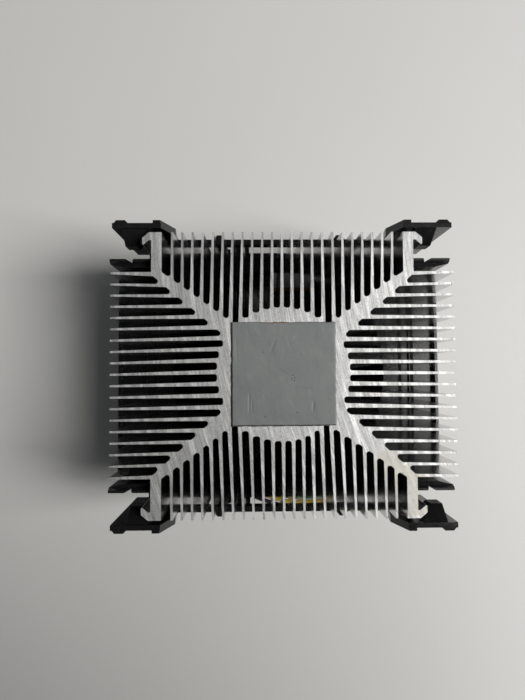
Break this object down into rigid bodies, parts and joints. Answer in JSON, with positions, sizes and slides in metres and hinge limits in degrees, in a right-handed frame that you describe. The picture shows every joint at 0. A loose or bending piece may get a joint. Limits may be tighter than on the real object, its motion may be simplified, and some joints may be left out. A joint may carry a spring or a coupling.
{
  "type": "boxed processor cooler",
  "caption": "Low processor cooler: extruded aluminium heatsink with a square pad, fan in a round duct and two lever clips, resting fan side down.",
  "frame": {"origin": "centre of the thermal pad's contact face", "axes": "+Z out of the contact face towards the processor, +X along the longer side"},
  "size_m": [0.0924, 0.079, 0.055],
  "materials": {
    "heatsink": "saw-cut extruded aluminium, finely brushed base",
    "thermal_pad": "matt grey compound",
    "shroud_plastic": "black moulded plastic, fine texture",
    "bracket_plastic": "black moulded plastic",
    "clip_plastic": "black glass-filled plastic, satin",
    "lever_plastic": "black glass-filled plastic, satin",
    "impeller_plastic": "black moulded plastic, smooth",
    "label": "plain unprinted film",
    "board": "green solder mask",
    "chip": "black epoxy",
    "brass": "turned brass",
    "bearing_bronze": "oil-filled sintered bronze",
    "steel": "ground steel",
    "rotor_steel": "drawn steel",
    "laminations": "stacked electrical steel",
    "copper": "enamelled copper wire",
    "bobbin_plastic": "natural nylon",
    "magnet": "bonded ferrite",
    "wire_black": "soft vinyl",
    "wire_yellow": "soft vinyl",
    "wire_green": "soft vinyl",
    "connector_plastic": "natural nylon",
    "tinned": "tin-plated bronze"
  },
  "bodies": {
    "cooler": {"heatsink": "heatsink", "thermal_pad": "thermal_pad", "fan_shroud": "shroud_plastic", "motor_bracket": "bracket_plastic", "bearing_label": "label", "circuit_board": "board", "driver_chip": "chip", "hall_sensor": "chip", "thermistor": "chip", "bearing_tube": "brass", "ball_bearing_outer": "steel", "sleeve_bearing": "bearing_bronze", "preload_washer": "steel", "stator_core": "laminations", "winding_bobbins": "bobbin_plastic", "stator_windings": "copper", "wire_black": "wire_black", "wire_yellow": "wire_yellow", "wire_green": "wire_green", "connector_housing": "connector_plastic", "connector_terminals": "tinned"},
    "rotor": {"impeller": "impeller_plastic", "rotor_cup": "rotor_steel", "rotor_magnet": "magnet", "rotor_shaft": "steel", "retaining_ring": "rotor_steel", "ball_bearing_inner": "steel", "bearing_balls": "steel", "hub_label": "label"},
    "clip_north": {"clip_frame_north": "clip_plastic", "lever_pin_north": "steel"},
    "clip_south": {"clip_frame_south": "clip_plastic", "lever_pin_south": "steel"},
    "lever_north": {"cam_lever_north": "lever_plastic"},
    "lever_south": {"cam_lever_south": "lever_plastic"}
  },
  "joints": [
    {"name": "rotor_spin", "type": "hinge", "parent": "cooler", "child": "rotor", "pos_m": [0, 0, -0.04], "axis": [0, 0, 1], "continuous": true},
    {"name": "clip_north_slide", "type": "slide", "parent": "cooler", "child": "clip_north", "axis": [0, 0, 1], "range_m": [0, 0.0012]},
    {"name": "lever_north_turn", "type": "hinge", "parent": "clip_north", "child": "lever_north", "pos_m": [0.0164, 0.0356, -0.03445], "axis": [0, -1, 0], "range_deg": [0, 180]},
    {"name": "clip_south_slide", "type": "slide", "parent": "cooler", "child": "clip_south", "axis": [0, 0, 1], "range_m": [0, 0.0012]},
    {"name": "lever_south_turn", "type": "hinge", "parent": "clip_south", "child": "lever_south", "pos_m": [-0.0164, -0.0356, -0.03445], "axis": [0, 1, 0], "range_deg": [0, 180]}
  ],
  "couplings": [
    {"joint": "clip_north_slide", "follows": "lever_north_turn", "m_per_rad": 0.00038197},
    {"joint": "clip_south_slide", "follows": "lever_south_turn", "m_per_rad": 0.00038197}
  ]
}
